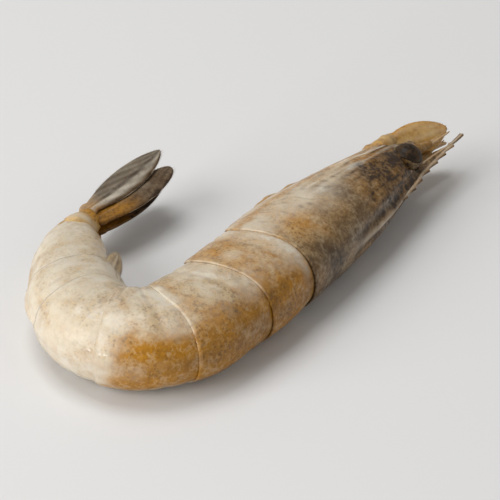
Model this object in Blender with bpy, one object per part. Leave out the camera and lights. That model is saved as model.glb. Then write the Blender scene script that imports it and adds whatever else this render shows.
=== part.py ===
"""A raw head-on prawn, lying on its right side and curled towards its belly.

Frame: +X the way the head points, -Y the back, +Y the belly, +Z up, which is the prawn's left side.
The origin is the middle of the bounding box's underside. Sizes are in millimetres until place() scales them.

The animal is described in its own coordinates: s runs from the eye socket towards the tail along the
body's axis, d is the distance from that axis towards the back, and w the distance to the left.
"""

import math
import random

import bmesh
import bpy
from mathutils import Vector

MM = 0.001

# Driving dimensions
CARAPACE_LENGTH = 40.0
SEGMENT_LENGTHS = (12.5, 13.5, 9.5, 9.0, 8.5, 17.5)
ROSTRUM_REACH = 16.0
FACE_REACH = 6.0
AXIS_HEIGHT = 7.0
TAIL_DROOP = 1.4
SHELL_STEP = 0.55
FIRST_HIP = 12.0
LEG_PITCH = 5.6
THIGH_LENGTH = 9.0
SHIN_LENGTH = 10.0
RIDGE_START = 13.0
ROSTRUM_TEETH = 8
TOOTH_HEIGHT = 0.5
EYE_RADIUS = 2.8
TELSON_LENGTH = 19.0
FAN_STEM_REACH = 3.8
EXOPOD_LENGTH = 22.5
ENDOPOD_LENGTH = 20.8

# Where the body bends: after which segment, by how many degrees, over how many millimetres either way
BENDS = ((1, 5, 5), (2, 43, 6), (3, 60, 6), (4, 28, 6), (5, 6, 7), (6, 38, 5))

# The body at stations along its axis: how far the back, the belly and each side are from it
BACK = ((-6, 2.4), (0, 5.1), (8, 7.0), (18, 8.4), (30, 9.3), (40, 9.6), (50, 9.8), (61, 9.8),
        (72, 9.3), (82, 8.4), (92, 7.2), (102, 5.7), (111, 3.8))
BELLY = ((-6, 2.6), (0, 5.0), (8, 6.4), (18, 8.2), (30, 9.8), (40, 10.0), (50, 9.8), (61, 9.6),
         (72, 9.2), (82, 8.6), (92, 7.8), (102, 6.4), (111, 4.4))
FLANK = ((-6, 2.4), (0, 4.2), (8, 5.7), (18, 6.8), (30, 7.3), (40, 7.3), (50, 7.3), (61, 7.3),
         (72, 7.2), (82, 6.7), (92, 5.8), (102, 4.8), (111, 3.5))

# Where the left eye (1) and the right eye (-1), which is tucked under the rostrum, are centred: s, d and w
EYES = {1: (-0.1, 2.8, 2.5), -1: (0.2, 1.5, -1.9)}

# The blades under the first five tail segments: how far each pair leans from the body, and its length
PADDLES = ((14, 7.5), (24, 7.5), (46, 7.5), (36, 7.5), (22, 8.0))

# The tail's side blades, the left pair (1) above the right pair (-1): length, width, roundness (lower is
# blunter), the (d, w) each starts at, roll in degrees, then rise and splay to the belly per millimetre
FAN_BLADES = {
    1: ((EXOPOD_LENGTH, 5.6, 0.62, 0.5, 2.4, 98, 0.10, 0.045),
        (ENDOPOD_LENGTH, 6.2, 0.45, -2.0, 1.5, 88, 0.085, 0.10)),
    -1: ((EXOPOD_LENGTH - 1, 6.0, 0.62, -0.4, -1.8, 88, 0.06, 0.01),
         (ENDOPOD_LENGTH - 2, 5.4, 0.45, -2.0, -0.6, 84, 0.06, 0.05)),
}

ROUND_SIDES = 28
SECTION_POWER = 2.2
SPINE_STEP = 0.25
BELLY_GROOVE = 2.6
FLANK_SWEEP = 1.8
END_TAPER = 0.7
END_TAPER_REACH = 3.5


def smooth(t):
    """The S curve from 0 to 1 as t goes from 0 to 1."""
    t = min(1.0, max(0.0, t))
    return t * t * (3 - 2 * t)


def profile(keys, s):
    """A smooth curve through (station, value) keys that never overshoots them."""
    if s <= keys[0][0]:
        return keys[0][1]
    if s >= keys[-1][0]:
        return keys[-1][1]
    rises = [(b[1] - a[1]) / (b[0] - a[0]) for a, b in zip(keys, keys[1:])]
    i = next(k for k in range(len(rises)) if s <= keys[k + 1][0])

    def slope(k):
        if k == 0 or k == len(rises) or rises[k - 1] * rises[k] <= 0:
            return 0.0
        return 2 * rises[k - 1] * rises[k] / (rises[k - 1] + rises[k])

    (x0, y0), (x1, y1) = keys[i], keys[i + 1]
    h = x1 - x0
    t = (s - x0) / h
    return (y0 * (1 + 2 * t) * (1 - t) ** 2 + h * slope(i) * t * (1 - t) ** 2
            + y1 * t * t * (3 - 2 * t) - h * slope(i + 1) * t * t * (1 - t))


def segment_edges():
    """Stations of the rear edge of the carapace and of each tail segment."""
    edges = [CARAPACE_LENGTH]
    for length in SEGMENT_LENGTHS:
        edges.append(edges[-1] + length)
    return edges


EDGES = segment_edges()
BODY_END = EDGES[-1]


def turning(s):
    """How far the body has turned by station s, in radians."""
    total = 0.0
    for after, degrees, reach in BENDS:
        total += degrees * smooth((s - EDGES[after] + reach) / (2 * reach))
    return math.radians(total)


def spine_points():
    """The axis, walked from the eye socket to the fan in small steps."""
    points = [Vector((CARAPACE_LENGTH, 0, 0))]
    for i in range(int((BODY_END + 30) / SPINE_STEP)):
        a = math.pi - turning((i + 0.5) * SPINE_STEP)
        points.append(points[-1] + SPINE_STEP * Vector((math.cos(a), math.sin(a), 0)))
    return points


SPINE = spine_points()


def frame_at(s):
    """The axis point, the direction towards the tail and the direction towards the back, at station s."""
    if s <= 0:
        return SPINE[0] + Vector((-s, 0, 0)), Vector((-1, 0, 0)), Vector((0, -1, 0))
    i = min(len(SPINE) - 2, int(s / SPINE_STEP))
    point = SPINE[i].lerp(SPINE[i + 1], s / SPINE_STEP - i)
    a = math.pi - turning(s)
    return point, Vector((math.cos(a), math.sin(a), 0)), Vector((-math.sin(a), math.cos(a), 0))


def axis_height(s):
    """Height of the axis above the floor: level, and sinking a little towards the tail."""
    return AXIS_HEIGHT - TAIL_DROOP * smooth((s - 82) / 35)


def place(s, d, w):
    """The point of the prawn at (s, d, w), in millimetres."""
    point, _, back = frame_at(s)
    return point + back * d + Vector((0, 0, axis_height(s) + w))


def belly(s):
    """The d of the belly's lower edge at station s."""
    return -profile(BELLY, s)


def shell_lift(s):
    """How far the shell stands proud: each plate rises to its rear edge and laps over the next."""
    if s < 0:
        return -0.8
    starts = [0.0] + EDGES[:-1]
    for start, end in zip(starts, EDGES):
        if s <= end:
            closing = END_TAPER * smooth((s - BODY_END) / END_TAPER_REACH + 1)
            return SHELL_STEP * smooth((s - start) / (end - start)) ** 0.7 - closing
    return -END_TAPER


def scallop(s):
    """How far the side plates' lower edges rise between segments."""
    for start, end in zip(EDGES, EDGES[1:]):
        if start < s <= end:
            return 1.3 * (1 - math.sin(math.pi * (s - start) / (end - start)) ** 0.6)
    return 0.0


def body_point(s, angle):
    """A point of the body's skin; angle runs from the back over the left side to the belly."""
    x, y = math.cos(angle), math.sin(angle)
    depth, width = profile(BACK if x > 0 else BELLY, s), profile(FLANK, s)
    power = 2 / SECTION_POWER
    lift = shell_lift(s)
    d = math.copysign(abs(x) ** power, x) * (depth + lift)
    w = math.copysign(abs(y) ** power, y) * (width + 0.6 * lift)
    if x < 0:
        d += scallop(s) * x * x
        d += BELLY_GROOVE * smooth((0.55 - abs(y)) / 0.4) * smooth((s + 2) / 8)
    sweep = FLANK_SWEEP * math.exp(-((abs(math.degrees(math.atan2(y, x))) - 115) / 35) ** 2)
    return place(s + sweep * smooth(s / 20), d, w)


def finish_mesh(name, bm, folder):
    """Makes the closed mesh an object of the folder, with its faces pointing out."""
    bmesh.ops.recalc_face_normals(bm, faces=bm.faces)
    bmesh.ops.triangulate(bm, faces=bm.faces)
    mesh = bpy.data.meshes.new(name)
    bm.to_mesh(mesh)
    bm.free()
    made = bpy.data.objects.new(name, mesh)
    folder.objects.link(made)
    return made


def skin(name, rings, folder, tips=(None, None)):
    """A closed skin over rings of points, its ends closed at the tips or at the rings' middles."""
    bm = bmesh.new()
    rows = [[bm.verts.new(p * MM) for p in ring] for ring in rings]
    count = len(rings[0])
    for a, b in zip(rows, rows[1:]):
        for i in range(count):
            j = (i + 1) % count
            bm.faces.new((a[i], a[j], b[j], b[i]))
    for ring, row, tip in ((rings[0], rows[0], tips[0]), (rings[-1], rows[-1], tips[1])):
        middle = tip or sum(ring, Vector()) / count
        pole = bm.verts.new(middle * MM)
        for i in range(count):
            bm.faces.new((row[i], row[(i + 1) % count], pole))
    return finish_mesh(name, bm, folder)


def oval(centre, u, v, sides):
    """A ring of points round an ellipse with half axes u and v."""
    turns = [2 * math.pi * (i + 0.5) / sides for i in range(sides)]
    return [centre + u * math.cos(a) + v * math.sin(a) for a in turns]


def limb(name, path, radii, folder, sides=6):
    """A tapered rod through the points of a path."""
    rings = []
    for i, centre in enumerate(path):
        along = (path[min(i + 1, len(path) - 1)] - path[max(i - 1, 0)]).normalized()
        u = along.cross(Vector((0, 0, 1)))
        u = u.normalized() if u.length > 0.1 else Vector((0, 1, 0))
        rings.append(oval(centre, u * radii[i], along.cross(u) * radii[i], sides))
    ends = [path[0] + (path[0] - path[1]).normalized() * radii[0] * 0.5,
            path[-1] + (path[-1] - path[-2]).normalized() * radii[-1] * 0.8]
    return skin(name, rings, folder, ends)


def leaf(name, base, along, across, size, folder, belly_at=0.5, bow=0.0, stations=8, sides=8, roundness=0.62):
    """A flat oval blade of size (length, width, thickness), widest at belly_at, bowed out of its plane."""
    length, width, thickness = size
    along = along.normalized()
    across = (across - along * across.dot(along)).normalized()
    normal = along.cross(across)
    rings = []
    for i in range(stations):
        t = (i + 0.25) / (stations - 0.4)
        skew = t ** (math.log(0.5) / math.log(belly_at))
        half = max(0.16, math.sin(math.pi * skew) ** roundness) * width / 2
        thick = (0.45 + 0.55 * (1 - t)) * thickness / 2
        centre = base + along * (t * length) + normal * (bow * math.sin(math.pi * t))
        rings.append(oval(centre, across * half, normal * thick, sides))
    return skin(name, rings, folder, (base, base + along * length))


def body_stations():
    """Stations of the body's rings, with a pair at each plate's rear edge for the step down."""
    stations = [-FACE_REACH, -4.4, -2.6, -0.9]
    starts = [0.0] + EDGES[:-1]
    for number, (start, end) in enumerate(zip(starts, EDGES)):
        steps = 11 if number == 0 else 6
        first = start if number == 0 else start + 0.55
        stations += [first + (end - first) * i / steps for i in range(steps + 1)]
    return stations


def body(folder):
    """Carapace, six tail segments and the face, as one skin pressed flat where it lies on the floor."""
    rings = []
    for s in body_stations():
        ring = [body_point(s, 2 * math.pi * i / ROUND_SIDES) for i in range(ROUND_SIDES)]
        for p in ring:
            p.z = max(p.z, 0.0)
        rings.append(ring)
    return skin("body", rings, folder, (place(-FACE_REACH - 1, 0, 0), place(BODY_END + 1, 0, 0)))


def rostrum(folder):
    """The toothed blade that runs forward from the ridge of the carapace."""
    length = RIDGE_START + ROSTRUM_REACH
    step = length / (ROSTRUM_TEETH + 1)

    def top(s):
        return profile(BACK, max(s, 0.0)) + 0.2 + 0.9 * smooth((RIDGE_START - s) / 12) - 0.10 * max(0.0, -s)

    upper = []
    for i in range(ROSTRUM_TEETH):
        root = RIDGE_START - i * step
        upper.append((root, top(root)))
        upper.append((root - 0.70 * step, top(root - 0.70 * step) + TOOTH_HEIGHT))
        upper.append((root - 0.80 * step, top(root - 0.80 * step)))
    upper.append((step - ROSTRUM_REACH, top(step - ROSTRUM_REACH)))
    lower = []
    for t in (0.0, 0.14, 0.32, 0.55, 0.8, 1.0):
        s = t * length - ROSTRUM_REACH
        lower.append((s, top(s) - 0.5 - 1.8 * smooth(2.0 * t)))
    outline = upper + lower
    bm = bmesh.new()
    sides = []
    for side in (-1, 1):
        points = []
        for s, d in outline:
            half = 0.32 + 0.4 * smooth((s + ROSTRUM_REACH) / 16)
            points.append(bm.verts.new(place(s, d, side * half) * MM))
        sides.append(points)
        bm.faces.new(points if side > 0 else points[::-1])
    for i in range(len(outline)):
        j = (i + 1) % len(outline)
        bm.faces.new((sides[0][i], sides[0][j], sides[1][j], sides[1][i]))
    return finish_mesh("rostrum", bm, folder)


def eye(side, folder):
    """The ball of the eye on its short stalk."""
    centre = place(*EYES[side])
    rings = []
    for i in range(1, 8):
        a = math.pi * i / 8
        middle = centre + Vector((math.cos(a) * EYE_RADIUS, 0, 0))
        r = math.sin(a) * EYE_RADIUS
        rings.append(oval(middle, Vector((0, r, 0)), Vector((0, 0, r * 0.92)), 12))
    ends = (centre + Vector((EYE_RADIUS, 0, 0)), centre - Vector((EYE_RADIUS, 0, 0)))
    skin("eye", rings, folder, ends)
    limb("stalk", [place(3.0, 2.0, side * 1.4), centre], (1.6, 1.6), folder, 8)


def antenna_bases(side, folder):
    """The flat antennal scale, the stout base joint beside it and the small feelers above."""
    root = place(0.5, -2.7, side * 1.7)
    forward = Vector((1, -0.34, 0))
    across = Vector((0, 0.72, side * 0.70))
    leaf("scale", root, forward, across, (15.5, 6.4, 1.3), folder, belly_at=0.52, bow=-side * 0.4)
    joint = [place(2.5, -2.6, side * 2.0), place(-2.5, -3.1, side * 2.3), place(-5.5, -3.2, side * 2.2)]
    limb("antenna_base", joint, (2.0, 1.9, 1.2), folder, 8)
    stem = [place(1, 0.8, side * 1.2), place(-4, 1.5, side * 1.4), place(-8.5, 2.4, side * 1.2)]
    limb("feeler_stem", stem, (1.3, 1.1, 0.8), folder)
    for spread in (-0.5, 0.6):
        tip = [place(-7.5, 2.2 + spread * 0.5, side * 1.1),
               place(-10.5, 2.5 + spread * 0.8, side * (1.1 + spread * 0.4)),
               place(-13.5, 2.7 + spread, side * (1.1 + spread * 0.6))]
        limb("feeler", tip, (0.5, 0.42, 0.32), folder, 5)


def walking_legs(side, folder, draw):
    """Five legs and the last mouth limb, folded forward along the belly's edge."""
    for number in range(5):
        hip = FIRST_HIP + LEG_PITCH * number
        knee = hip - THIGH_LENGTH + draw.uniform(-0.8, 0.8)
        w = side * (1.0 + 0.42 * number + draw.uniform(-0.2, 0.2))
        out = 0.1 + 0.10 * number + draw.uniform(-0.15, 0.15)
        thick = 0.95 + 0.03 * number
        path = [place(hip + 0.5, belly(hip) + 4.0, side * 1.6), place(hip - 1.5, belly(hip) + 1.8, w * 0.95),
                place(hip - 5.5, belly(hip - 5) + 0.3, w * 1.05),
                place(knee, belly(knee) - out, w * 1.05),
                place(knee - 4, belly(knee - 4) - 0.8 * out, w * 0.85),
                place(knee - SHIN_LENGTH, belly(knee - SHIN_LENGTH) + 0.8, w * 0.5)]
        limb("leg", path, (1.2, thick, thick * 0.95, thick * 0.85, 0.7, 0.4), folder)
    mouth = [place(6, belly(6) + 2.5, side * 1.8), place(1, belly(1) + 0.8, side * 2.0),
             place(-6, belly(0) + 1.6, side * 1.5), place(-10, belly(0) + 2.6, side * 1.2)]
    limb("mouth_limb", mouth, (1.3, 1.2, 0.9, 0.5), folder)


def swimming_legs(side, folder, draw):
    """A pair of flat blades under each of the first five tail segments, folded back."""
    for number, (degrees, length) in enumerate(PADDLES):
        s = EDGES[number] + 0.4 * SEGMENT_LENGTHS[number]
        _, tail, back = frame_at(s)
        lean = math.radians(degrees + draw.uniform(-4, 4))
        down = tail * math.cos(lean) - back * math.sin(lean)
        root = place(s, belly(s) + BELLY_GROOVE + 1.4, side * 2.6)
        stem_end = root + down * 3.6 - back * 0.8
        limb("paddle_stem", [root, stem_end], (1.6, 1.3), folder)
        edge = back.lerp(Vector((0, 0, side)), 0.45)
        leaf("paddle", stem_end - down, down, edge, (length, 3.4, 1.2), folder, belly_at=0.45)


def tail_fan(folder):
    """The pointed telson and the two pairs of side blades, folded shut round it."""
    _, tail, back = frame_at(BODY_END + 5)
    up = Vector((0, 0, 1))
    root = place(BODY_END - 2.5, 2.4, 0.5)
    rings = []
    for i in range(9):
        t = i / 8
        half = 3.0 * (1 - t) ** 0.75 + 0.35
        high = (2.4 - 1.8 * t) * (0.5 + 0.5 * smooth(t / 0.14))
        rings.append(oval(root + tail * (t * (TELSON_LENGTH + 1.5)), up * half, back * high, 8))
    skin("telson", rings, folder, (root - tail, root + tail * (TELSON_LENGTH + 2.5)))
    for side in (-1, 1):
        stem = [place(BODY_END - 4, -0.6, side * 1.0), place(BODY_END + 0.6, -0.6, side * 1.2),
                place(BODY_END + FAN_STEM_REACH + 1, -0.8, side * 1.4)]
        limb("fan_stem", stem, (3.1, 3.0, 2.2), folder, 8)
        for length, width, roundness, d, w, roll, rise, splay in FAN_BLADES[side]:
            turn = math.radians(roll)
            across = up * math.cos(turn) - back * math.sin(turn)
            along = tail + up * rise - back * splay
            leaf("fan_blade", place(BODY_END + FAN_STEM_REACH, d, w), along, across,
                 (length, width, 1.2), folder, belly_at=0.56, bow=0.5, stations=9, roundness=roundness)


def biggest_shell(bm):
    """Deletes every closed shell but the biggest: scraps, and hollows that joining has sealed."""
    left, shells = set(bm.faces), []
    while left:
        shell, front = set(), [left.pop()]
        while front:
            face = front.pop()
            shell.add(face)
            near = {f for e in face.edges for f in e.link_faces} & left
            left -= near
            front += near
        shells.append(shell)
    keep = max(shells, key=len)
    bmesh.ops.delete(bm, geom=[f for shell in shells if shell is not keep for f in shell], context="FACES")


def join(core, pieces):
    """Unites the pieces with the core in one Boolean, and removes them."""
    union = core.modifiers.new("join", "BOOLEAN")
    union.operation = "UNION"
    union.operand_type = "COLLECTION"
    union.collection = pieces
    union.solver = "MANIFOLD"
    seen = core.evaluated_get(bpy.context.evaluated_depsgraph_get())
    joined = bpy.data.meshes.new_from_object(seen)
    core.modifiers.clear()
    core.data = joined
    for piece in list(pieces.objects):
        bpy.data.objects.remove(piece)
    bpy.data.collections.remove(pieces)


def centre_on_floor(mesh):
    """Moves the mesh so that the middle of its box's underside is the origin."""
    xs, ys, zs = ([v.co[k] for v in mesh.vertices] for k in range(3))
    shift = Vector(((min(xs) + max(xs)) / 2, (min(ys) + max(ys)) / 2, min(zs)))
    for v in mesh.vertices:
        v.co -= shift


def shell_material():
    """Wet raw shell, sandy grey."""
    material = bpy.data.materials.new("raw_shell")
    material.use_nodes = True
    surface = material.node_tree.nodes["Principled BSDF"]
    surface.inputs["Base Color"].default_value = (0.52, 0.41, 0.27, 1)
    surface.inputs["Roughness"].default_value = 0.32
    surface.inputs["Metallic"].default_value = 0.0
    return material


def main():
    for old in list(bpy.data.objects):
        bpy.data.objects.remove(old)
    scene = bpy.context.scene
    pieces = bpy.data.collections.new("prawn_pieces")
    scene.collection.children.link(pieces)
    prawn = body(scene.collection)
    prawn.name = "prawn"
    draw = random.Random(7)
    rostrum(pieces)
    for side in (-1, 1):
        eye(side, pieces)
        antenna_bases(side, pieces)
        walking_legs(side, pieces, draw)
        swimming_legs(side, pieces, draw)
    tail_fan(pieces)
    join(prawn, pieces)
    bm = bmesh.new()
    bm.from_mesh(prawn.data)
    biggest_shell(bm)
    bmesh.ops.triangulate(bm, faces=bm.faces)
    bm.to_mesh(prawn.data)
    bm.free()
    centre_on_floor(prawn.data)
    prawn.data.materials.clear()
    prawn.data.materials.append(shell_material())
    prawn.data.shade_smooth()
    prawn.data.set_sharp_from_angle(angle=math.radians(50))


main()
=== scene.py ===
"""The looks of a raw head-on prawn, lying on its right side and curled towards its belly.

Places are given in the animal's own coordinates, in millimetres: s runs from the eye socket towards the
tail along the body's axis, d is the distance from that axis towards the back, and w the distance to the
left. place() bends them round the curl, and to_frame() moves the result into the frame, in metres.
"""

import math
import random

import bmesh
import bpy
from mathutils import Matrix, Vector, noise


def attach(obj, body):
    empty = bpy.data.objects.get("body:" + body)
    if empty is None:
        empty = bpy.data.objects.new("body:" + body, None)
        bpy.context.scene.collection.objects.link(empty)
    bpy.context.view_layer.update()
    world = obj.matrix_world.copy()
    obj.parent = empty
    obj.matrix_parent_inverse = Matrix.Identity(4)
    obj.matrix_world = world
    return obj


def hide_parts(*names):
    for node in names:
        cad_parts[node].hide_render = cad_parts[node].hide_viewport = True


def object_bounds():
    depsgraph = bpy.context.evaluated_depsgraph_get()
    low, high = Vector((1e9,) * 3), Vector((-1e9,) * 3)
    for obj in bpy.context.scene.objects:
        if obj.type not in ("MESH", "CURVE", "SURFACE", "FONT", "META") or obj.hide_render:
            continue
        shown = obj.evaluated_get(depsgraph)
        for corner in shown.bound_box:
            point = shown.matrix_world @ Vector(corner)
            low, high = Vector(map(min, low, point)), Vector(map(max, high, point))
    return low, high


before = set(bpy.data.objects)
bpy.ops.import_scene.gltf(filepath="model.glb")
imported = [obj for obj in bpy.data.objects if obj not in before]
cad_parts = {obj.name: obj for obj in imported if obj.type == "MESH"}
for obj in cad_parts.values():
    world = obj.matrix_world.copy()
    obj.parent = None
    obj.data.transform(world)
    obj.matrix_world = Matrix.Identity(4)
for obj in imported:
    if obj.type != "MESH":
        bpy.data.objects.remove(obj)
CAD_LOW, CAD_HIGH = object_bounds()
MM = 0.001
UP = Vector((0, 0, 1))

# Driving sizes of the animal, the same as the solid's
CARAPACE_LENGTH = 40.0
SEGMENT_LENGTHS = (12.5, 13.5, 9.5, 9.0, 8.5, 17.5)
ROSTRUM_REACH = 16.0
FACE_REACH = 6.0
AXIS_HEIGHT = 7.0
TAIL_DROOP = 1.4
SHELL_STEP = 0.55
FIRST_HIP = 12.0
LEG_PITCH = 5.6
THIGH_LENGTH = 9.0
SHIN_LENGTH = 10.0
RIDGE_START = 13.0
ROSTRUM_TEETH = 8
TOOTH_HEIGHT = 0.5
EYE_RADIUS = 2.8
TELSON_LENGTH = 19.0
FAN_STEM_REACH = 3.8
EXOPOD_LENGTH = 22.5
ENDOPOD_LENGTH = 20.8

# Where the body bends: after which segment, by how many degrees, over how many millimetres either way
BENDS = ((1, 5, 5), (2, 43, 6), (3, 60, 6), (4, 28, 6), (5, 6, 7), (6, 38, 5))

# The body at stations along its axis: how far the back, the belly and each side are from it
BACK = ((-6, 2.4), (0, 5.1), (8, 7.0), (18, 8.4), (30, 9.3), (40, 9.6), (50, 9.8), (61, 9.8),
        (72, 9.3), (82, 8.4), (92, 7.2), (102, 5.7), (111, 3.8))
BELLY = ((-6, 2.6), (0, 5.0), (8, 6.4), (18, 8.2), (30, 9.8), (40, 10.0), (50, 9.8), (61, 9.6),
         (72, 9.2), (82, 8.6), (92, 7.8), (102, 6.4), (111, 4.4))
FLANK = ((-6, 2.4), (0, 4.2), (8, 5.7), (18, 6.8), (30, 7.3), (40, 7.3), (50, 7.3), (61, 7.3),
         (72, 7.2), (82, 6.7), (92, 5.8), (102, 4.8), (111, 3.5))

# Where the left eye (1) and the right eye (-1), which is tucked under the rostrum, are centred: s, d and w
EYES = {1: (-0.1, 2.8, 2.5), -1: (0.2, 1.5, -1.9)}

# The blades under the first five tail segments: how far each pair leans from the body, and its length
PADDLES = ((14, 7.5), (24, 7.5), (46, 7.5), (36, 7.5), (22, 8.0))

# The tail's side blades, the left pair (1) above the right pair (-1): length, width, roundness (lower is
# blunter), the (d, w) each starts at, roll in degrees, then rise and splay to the belly per millimetre
FAN_BLADES = {
    1: ((EXOPOD_LENGTH, 5.6, 0.62, 0.5, 2.4, 98, 0.10, 0.045),
        (ENDOPOD_LENGTH, 6.2, 0.45, -2.0, 1.5, 88, 0.085, 0.10)),
    -1: ((EXOPOD_LENGTH - 1, 6.0, 0.62, -0.4, -1.8, 88, 0.06, 0.01),
         (ENDOPOD_LENGTH - 2, 5.4, 0.45, -2.0, -0.6, 84, 0.06, 0.05)),
}

# The body's section, how much of a lift goes sideways, and its axis, which runs on through the fan
SECTION_POWER = 2.2
SIDE_LIFT = 0.6
BELLY_GROOVE = 2.6
FLANK_SWEEP = 1.8
SPINE_STEP = 0.25
FAN_ROOM = 30.0
DROOP_START = 82.0
DROOP_REACH = 35.0

# The shell: its wall, how far a plate is tucked under the one before, its rim, the strip of painted shade
# in front of the rim, and its narrowing at the fan
SHELL_THICKNESS = 0.3
LAP = 2.6
PLATE_RIM = 0.6
SHADE_STRIP_PLACE = 1.5
SHADE_STRIP_REACH = 0.45
END_TAPER = 0.7
END_TAPER_REACH = 3.5
LAST_PLATE = 5

# Least heights above the floor: of the shell, of a tucked front above that (till TUCK_FADE past the edge
# that covers it), of the soft body and of the limbs
FLOOR_GAP = 0.02
TUCK_RISE = 0.36
TUCK_FADE = 1.2
SOFT_HEIGHT = 0.75
LIMB_HEIGHT = 0.05

# How many millimetres of skin a degree round the body covers, on the whole and at the carapace's grooves
DEGREE_MM = 0.12
GROOVE_DEGREE_MM = 0.13

# The meshing of limbs, how soon a blade reaches the width of its base, where its fringe starts, and the turns
# of a hair's three corners, in radians
LIMB_STEP = 0.45
BASE_ROUNDING = 0.10
FRINGE_START = 0.30
HAIR_CORNERS = (0.0, 2.094, 4.189)

# Small parts: the eyeball's depth for its width, the antennal scale's length, width and thickness, the claws
EYE_FLATNESS = 0.94
SCALE_SIZE = (15.5, 6.4, 1.1)
CLAWED_LEGS = 3
CLAW_LENGTH = 2.2

DRAW_SEED = 7
SIDES = ((-1, "right"), (1, "left"))

# The camera looks as the photograph's does, through a lens that fills the frame with the one prawn
VIEW_AZIMUTH = -55.6
VIEW_ELEVATION = 33.0
VIEW_DISTANCE = 0.72
VIEW_MARGIN = 1.16
SENSOR_WIDTH = 36.0

# The lamps: azimuth, elevation, distance and size in metres, and power in watts
LAMPS = {
    "key": (-114, 28, 0.9, 0.62, 5.8),
    "low": (-94, 4, 0.9, 0.08, 1.7),
    "top": (175, 72, 0.9, 0.5, 3.6),
    "fill": (10, 35, 1.0, 0.7, 0.6),
}
SKY = (1.0, 0.97, 0.93, 1)
SKY_STRENGTH = 0.32
FLOOR_PAINT = (0.70, 0.70, 0.70, 1)
FLOOR_SIZE = 3.0
FLOOR_HEIGHT = -0.0002


def smooth(t):
    """The S curve from 0 to 1 as t goes from 0 to 1."""
    t = min(1.0, max(0.0, t))
    return t * t * (3 - 2 * t)


def bump(x, middle, reach):
    """A bell of height 1 round the middle."""
    return math.exp(-((x - middle) / reach) ** 2)


def profile(keys, s):
    """A smooth curve through (station, value) keys that never overshoots them."""
    if s <= keys[0][0]:
        return keys[0][1]
    if s >= keys[-1][0]:
        return keys[-1][1]
    rises = [(b[1] - a[1]) / (b[0] - a[0]) for a, b in zip(keys, keys[1:])]
    i = next(k for k in range(len(rises)) if s <= keys[k + 1][0])

    def slope(k):
        if k == 0 or k == len(rises) or rises[k - 1] * rises[k] <= 0:
            return 0.0
        return 2 * rises[k - 1] * rises[k] / (rises[k - 1] + rises[k])

    (x0, y0), (x1, y1) = keys[i], keys[i + 1]
    h = x1 - x0
    t = (s - x0) / h
    return (y0 * (1 + 2 * t) * (1 - t) ** 2 + h * slope(i) * t * (1 - t) ** 2
            + y1 * t * t * (3 - 2 * t) - h * slope(i + 1) * t * t * (1 - t))


EDGES = [CARAPACE_LENGTH + sum(SEGMENT_LENGTHS[:n]) for n in range(7)]
BODY_END = EDGES[-1]


def turning(s):
    """How far the body has turned by station s, in radians."""
    total = 0.0
    for after, degrees, reach in BENDS:
        total += degrees * smooth((s - EDGES[after] + reach) / (2 * reach))
    return math.radians(total)


def spine_points():
    """The axis, walked from the eye socket to the fan in small steps."""
    points = [Vector((CARAPACE_LENGTH, 0, 0))]
    for i in range(int((BODY_END + FAN_ROOM) / SPINE_STEP)):
        a = math.pi - turning((i + 0.5) * SPINE_STEP)
        points.append(points[-1] + SPINE_STEP * Vector((math.cos(a), math.sin(a), 0)))
    return points


SPINE = spine_points()


def frame_at(s):
    """The axis point, the direction towards the tail and the direction towards the back, at station s."""
    if s <= 0:
        return SPINE[0] + Vector((-s, 0, 0)), Vector((-1, 0, 0)), Vector((0, -1, 0))
    i = min(len(SPINE) - 2, int(s / SPINE_STEP))
    point = SPINE[i].lerp(SPINE[i + 1], s / SPINE_STEP - i)
    a = math.pi - turning(s)
    return point, Vector((math.cos(a), math.sin(a), 0)), Vector((-math.sin(a), math.cos(a), 0))


def place(s, d, w):
    """The point of the prawn at (s, d, w), in millimetres."""
    point, _, back = frame_at(s)
    height = AXIS_HEIGHT - TAIL_DROOP * smooth((s - DROOP_START) / DROOP_REACH)
    return point + back * d + Vector((0, 0, height + w))


def belly(s):
    """The d of the belly's lower edge at station s."""
    return -profile(BELLY, s)


def skin_point(s, degrees, lift, groove=0.0):
    """A point of the skin at an angle from the back over the left side, raised by lift."""
    x, y = math.cos(math.radians(degrees)), math.sin(math.radians(degrees))
    depth, width = profile(BACK if x > 0 else BELLY, s), profile(FLANK, s)
    power = 2 / SECTION_POWER
    d = math.copysign(abs(x) ** power, x) * (depth + lift)
    w = math.copysign(abs(y) ** power, y) * (width + SIDE_LIFT * lift)
    if x < 0:
        d += groove * smooth((0.55 - abs(y)) / 0.4) * smooth((s + 2) / 8)
    sweep = FLANK_SWEEP * bump(abs(degrees), 115, 35)
    p = place(s + sweep * smooth(s / 20), d, w)
    p.z = max(p.z, FLOOR_GAP)
    return p


def home():
    """Where the animal's own origin lies in the frame: the bend's outermost points touch the CAD box."""
    ring = []
    for i in range(int(BODY_END)):
        lift = SHELL_STEP * smooth((i - EDGES[0]) / 8) * 0.6
        ring += [skin_point(i, a, lift) for a in (-40, 0, 40)]
    return Vector((CAD_LOW.x / MM - min(p.x for p in ring), CAD_LOW.y / MM - min(p.y for p in ring), 0))


HOME = home()


def to_frame(p):
    """The animal's millimetres as metres of the frame."""
    return (p + HOME) * MM


def rough(p, size):
    """Smooth noise from -1 to 1 with features of about size millimetres."""
    return noise.noise(p / size)


# The tints painted on the skin: mostly its own colours, but dark also carries painted shade and pale a
# painted highlight
MARKS = ("grey", "ochre", "pale", "dark")


def mark(grey=0.0, ochre=0.0, pale=0.0, dark=0.0):
    """How strongly each tint shows at a point, from 0 to 1."""
    return tuple(min(1.0, max(0.0, value)) for value in (grey, ochre, pale, dark))


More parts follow.
